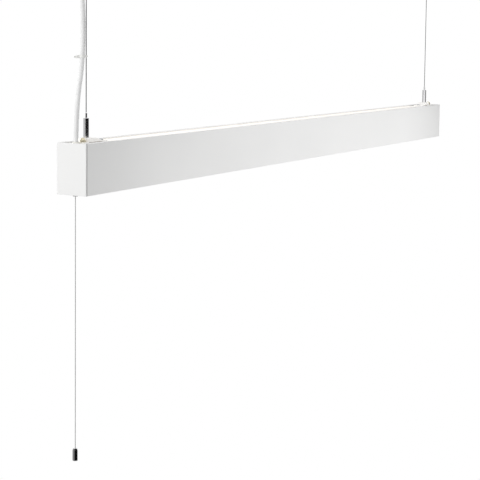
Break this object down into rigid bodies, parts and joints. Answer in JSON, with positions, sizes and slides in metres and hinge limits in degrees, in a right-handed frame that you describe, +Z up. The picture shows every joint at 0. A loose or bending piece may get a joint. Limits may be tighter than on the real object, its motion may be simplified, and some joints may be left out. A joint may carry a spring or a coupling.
{
  "type": "office pendant light",
  "caption": "Linear white office pendant light on wire suspensions, with up and down light, a mains cable tied to a wire and a pull-cord switch at its end.",
  "frame": {"origin": "on the ceiling plane, at the centre of the rectangle of ceiling screw holes, over the lamp's middle", "axes": "+X along the lamp away from the switch end, +Y to the back, +Z up into the ceiling"},
  "size_m": [1.5, 0.07, 0.797],
  "materials": {
    "white_aluminium": "white powder coat, fine satin",
    "white_steel": "white powder coat, fine satin",
    "zinc_steel": "zinc plated",
    "wire_steel": "stranded steel wire",
    "chrome": "polished chrome",
    "nickel_nut": "polished nickel",
    "opal_acrylic": "opal, satin",
    "white_plastic": "matt moulded",
    "cable_sheath": "matt PVC",
    "grey_plastic": "matt moulded",
    "brass_contact": "bright rolled",
    "board": "white solder resist",
    "led": "yellow phosphor",
    "driver_case": "matt moulded",
    "cord_braid": "braided nylon"
  },
  "bodies": {
    "ceiling_suspension": {"canopy_base_near": "zinc_steel", "canopy_base_far": "zinc_steel", "canopy_cover_near": "white_steel", "canopy_cover_far": "white_steel", "canopy_ring_nuts": "chrome", "wire_ferrules": "zinc_steel", "suspension_wire_near": "wire_steel", "suspension_wire_far": "wire_steel", "canopy_cable_bush": "white_plastic", "canopy_terminal_block": "white_plastic", "mains_cable": "cable_sheath", "cable_tie": "white_plastic"},
    "luminaire": {"bottom_end_plate": "white_steel", "bracket_dome_nuts": "nickel_nut", "bracket_screws": "zinc_steel", "bracket_studs": "zinc_steel", "cable_gland": "white_plastic", "cable_gland_nut": "white_plastic", "cord_bush": "nickel_nut", "downlight_diffuser": "opal_acrylic", "downlight_led_boards": "board", "downlight_leds": "led", "driver_screws": "zinc_steel", "end_cap_far": "white_aluminium", "end_cap_near": "white_aluminium", "gripper_base_far": "chrome", "gripper_base_near": "chrome", "gripper_body_far": "chrome", "gripper_body_near": "chrome", "gripper_lock_nuts": "zinc_steel", "housing_profile": "white_aluminium", "lamp_cores": "cable_sheath", "lamp_terminal_block": "white_plastic", "led_driver": "driver_case", "plunger_spring_far": "zinc_steel", "plunger_spring_near": "zinc_steel", "return_spring": "zinc_steel", "suspension_bracket_far": "white_steel", "suspension_bracket_near": "white_steel", "switch_case": "white_plastic", "switch_contacts": "brass_contact", "switch_lid": "white_plastic", "top_end_plate_far": "white_steel", "top_end_plate_near": "white_steel", "uplight_diffuser": "opal_acrylic", "uplight_led_boards": "board", "uplight_leds": "led"},
    "plunger_near": {"release_plunger_near": "chrome", "gripper_balls_near": "zinc_steel"},
    "plunger_far": {"release_plunger_far": "chrome", "gripper_balls_far": "zinc_steel"},
    "pull_slide": {"pull_slider": "grey_plastic", "pull_cord_inner": "cord_braid"},
    "rocker": {"contact_rocker": "grey_plastic"},
    "cord_bend": {"pull_cord_bend": "cord_braid"},
    "cord_and_toggle": {"pull_cord": "cord_braid", "pull_toggle": "chrome"}
  },
  "joints": [
    {"name": "height_adjust", "type": "slide", "parent": "ceiling_suspension", "child": "luminaire", "axis": [0, 0, 1], "range_m": [0, 0.15], "deforming": ["suspension_wire_near", "suspension_wire_far", "mains_cable", "cable_tie"]},
    {"name": "release_near", "type": "slide", "parent": "luminaire", "child": "plunger_near", "axis": [0, 0, -1], "range_m": [0, 0.003], "stiffness_N_per_m": 800, "springref_m": -0.002, "deforming": ["plunger_spring_near"]},
    {"name": "release_far", "type": "slide", "parent": "luminaire", "child": "plunger_far", "axis": [0, 0, -1], "range_m": [0, 0.003], "stiffness_N_per_m": 800, "springref_m": -0.002, "deforming": ["plunger_spring_far"]},
    {"name": "cord_pull", "type": "slide", "parent": "luminaire", "child": "pull_slide", "axis": [0, 0, -1], "range_m": [0, 0.01], "stiffness_N_per_m": 350, "springref_m": -0.005, "deforming": ["return_spring"]},
    {"name": "rocker_turn", "type": "hinge", "parent": "luminaire", "child": "rocker", "pos_m": [-0.722, 0, -0.3575], "axis": [0, -1, 0], "range_deg": [0, 66]},
    {"name": "cord_swing_along", "type": "hinge", "parent": "pull_slide", "child": "cord_bend", "pos_m": [-0.7395, 0, -0.38], "axis": [0, 1, 0], "range_deg": [-30, 30]},
    {"name": "cord_swing_across", "type": "hinge", "parent": "cord_bend", "child": "cord_and_toggle", "pos_m": [-0.7395, 0, -0.38], "axis": [1, 0, 0], "range_deg": [-30, 30]}
  ],
  "couplings": [
    {"joint": "rocker_turn", "follows": "cord_pull", "rad_per_m": 104.72}
  ]
}
